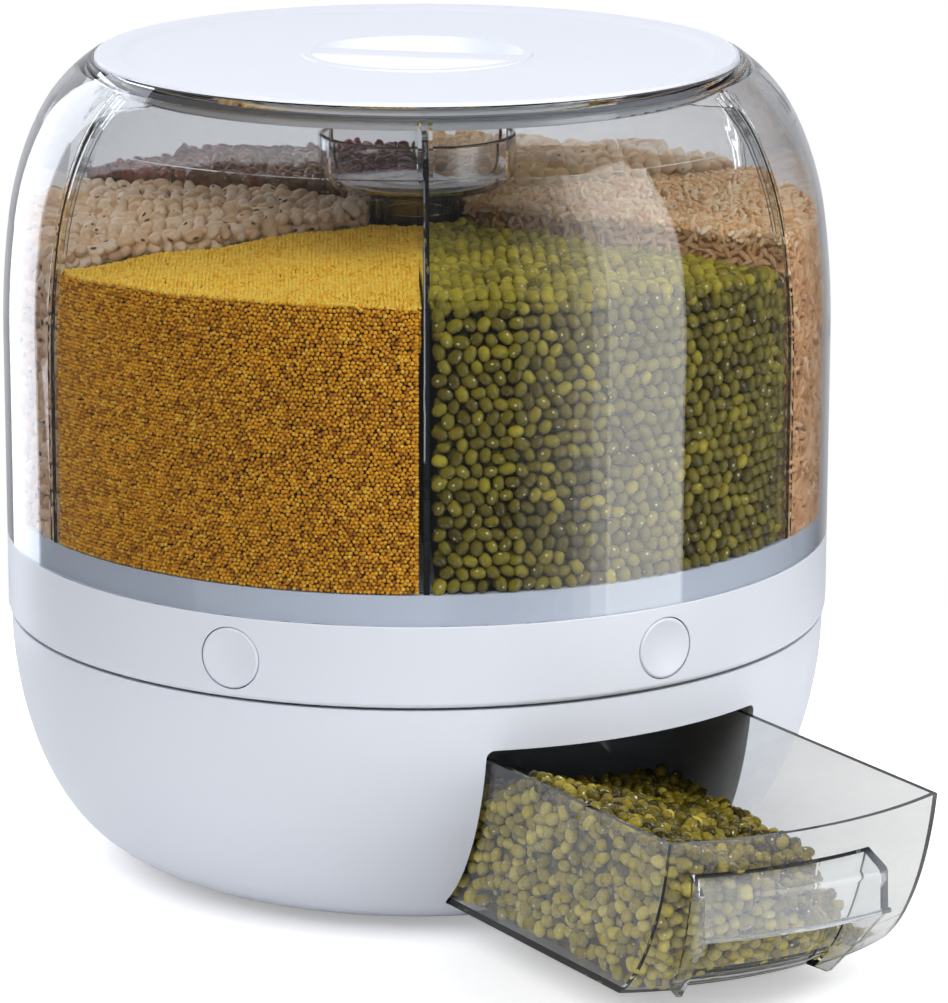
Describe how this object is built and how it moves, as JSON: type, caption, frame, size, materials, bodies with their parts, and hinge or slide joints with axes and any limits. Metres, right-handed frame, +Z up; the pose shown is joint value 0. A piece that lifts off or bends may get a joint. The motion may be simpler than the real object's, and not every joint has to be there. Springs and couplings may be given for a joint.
{
  "type": "rotating grain dispenser",
  "caption": "Rotating dry-grain dispenser: clear divided bucket with lid on a ring of push buttons, over a round base with a clear pull-out drawer.",
  "frame": {"origin": "on the turning axis, at the plane of the feet's undersides", "axes": "+Z up along the turning axis; the drawer opens towards -Y; +X to the right seen from the drawer's side"},
  "size_m": [0.32, 0.4439, 0.3158],
  "materials": {
    "white_abs": "moulded white ABS, satin",
    "lid_abs": "moulded white ABS, glossy",
    "tray_abs": "moulded pale ABS, satin",
    "clear_san": "clear moulded SAN",
    "smoke_clear": "clear moulded SAN with a light smoke tint",
    "gate_pom": "moulded acetal",
    "cage_pom": "moulded acetal",
    "pivot_steel": "turned steel",
    "screw_steel": "zinc plated steel",
    "spring_wire": "drawn spring wire",
    "foot_rubber": "moulded grey rubber",
    "seal_silicone": "translucent silicone"
  },
  "bodies": {
    "base": {"base_bowl": "white_abs", "drawer_bay": "white_abs", "base_deck": "white_abs", "deck_screws": "screw_steel", "pivot_post": "pivot_steel", "retaining_washer": "pivot_steel", "retaining_screw": "screw_steel", "rubber_feet": "foot_rubber"},
    "ball_cage": {"ball_cage": "cage_pom", "bearing_balls": "pivot_steel"},
    "turret": {"button_ring": "white_abs", "gate_guide_plate": "white_abs", "pivot_bush": "cage_pom", "tray_screws": "screw_steel", "ring_screws": "screw_steel", "hopper_tray": "tray_abs", "clear_bucket": "clear_san", "centre_column": "clear_san", "sachet_cup": "clear_san", "divider_panel_1": "clear_san", "divider_panel_2": "clear_san", "divider_panel_3": "clear_san", "divider_panel_4": "clear_san", "divider_panel_5": "clear_san", "divider_panel_6": "clear_san", "funnel_1": "tray_abs", "funnel_2": "tray_abs", "funnel_3": "tray_abs", "funnel_4": "tray_abs", "funnel_5": "tray_abs", "funnel_6": "tray_abs", "outlet_spout_1": "white_abs", "outlet_spout_2": "white_abs", "outlet_spout_3": "white_abs", "outlet_spout_4": "white_abs", "outlet_spout_5": "white_abs", "outlet_spout_6": "white_abs"},
    "lid": {"lid_plate": "lid_abs", "lid_seal": "seal_silicone"},
    "drawer": {"drawer_cup": "smoke_clear"},
    "gate_1": {"button_cap_1": "white_abs", "gate_slide_1": "gate_pom", "gate_spring_1": "spring_wire"},
    "gate_2": {"button_cap_2": "white_abs", "gate_slide_2": "gate_pom", "gate_spring_2": "spring_wire"},
    "gate_3": {"button_cap_3": "white_abs", "gate_slide_3": "gate_pom", "gate_spring_3": "spring_wire"},
    "gate_4": {"button_cap_4": "white_abs", "gate_slide_4": "gate_pom", "gate_spring_4": "spring_wire"},
    "gate_5": {"button_cap_5": "white_abs", "gate_slide_5": "gate_pom", "gate_spring_5": "spring_wire"},
    "gate_6": {"button_cap_6": "white_abs", "gate_slide_6": "gate_pom", "gate_spring_6": "spring_wire"}
  },
  "joints": [
    {"name": "turret_spin", "type": "hinge", "parent": "base", "child": "turret", "pos_m": [0, 0, 0], "axis": [0, 0, 1], "continuous": true},
    {"name": "cage_spin", "type": "hinge", "parent": "base", "child": "ball_cage", "pos_m": [0, 0, 0], "axis": [0, 0, 1], "continuous": true},
    {"name": "drawer_slide", "type": "slide", "parent": "base", "child": "drawer", "axis": [0, -1, 0], "range_m": [-0.116, 0.08]},
    {"name": "lid_lift", "type": "slide", "parent": "turret", "child": "lid", "axis": [0, 0, 1], "range_m": [0, 0.06]},
    {"name": "button_1_press", "type": "slide", "parent": "turret", "child": "gate_1", "axis": [-0.061, 0.9981, 0], "range_m": [0, 0.01], "stiffness_N_per_m": 200, "springref_m": -0.012, "deforming": ["gate_spring_1"]},
    {"name": "button_2_press", "type": "slide", "parent": "turret", "child": "gate_2", "axis": [-0.8949, 0.4462, 0], "range_m": [0, 0.01], "stiffness_N_per_m": 200, "springref_m": -0.012, "deforming": ["gate_spring_2"]},
    {"name": "button_3_press", "type": "slide", "parent": "turret", "child": "gate_3", "axis": [-0.8339, -0.5519, 0], "range_m": [0, 0.01], "stiffness_N_per_m": 200, "springref_m": -0.012, "deforming": ["gate_spring_3"]},
    {"name": "button_4_press", "type": "slide", "parent": "turret", "child": "gate_4", "axis": [0.061, -0.9981, 0], "range_m": [0, 0.01], "stiffness_N_per_m": 200, "springref_m": -0.012, "deforming": ["gate_spring_4"]},
    {"name": "button_5_press", "type": "slide", "parent": "turret", "child": "gate_5", "axis": [0.8949, -0.4462, 0], "range_m": [0, 0.01], "stiffness_N_per_m": 200, "springref_m": -0.012, "deforming": ["gate_spring_5"]},
    {"name": "button_6_press", "type": "slide", "parent": "turret", "child": "gate_6", "axis": [0.8339, 0.5519, 0], "range_m": [0, 0.01], "stiffness_N_per_m": 200, "springref_m": -0.012, "deforming": ["gate_spring_6"]}
  ],
  "couplings": [
    {"joint": "cage_spin", "follows": "turret_spin", "ratio": 0.5}
  ]
}
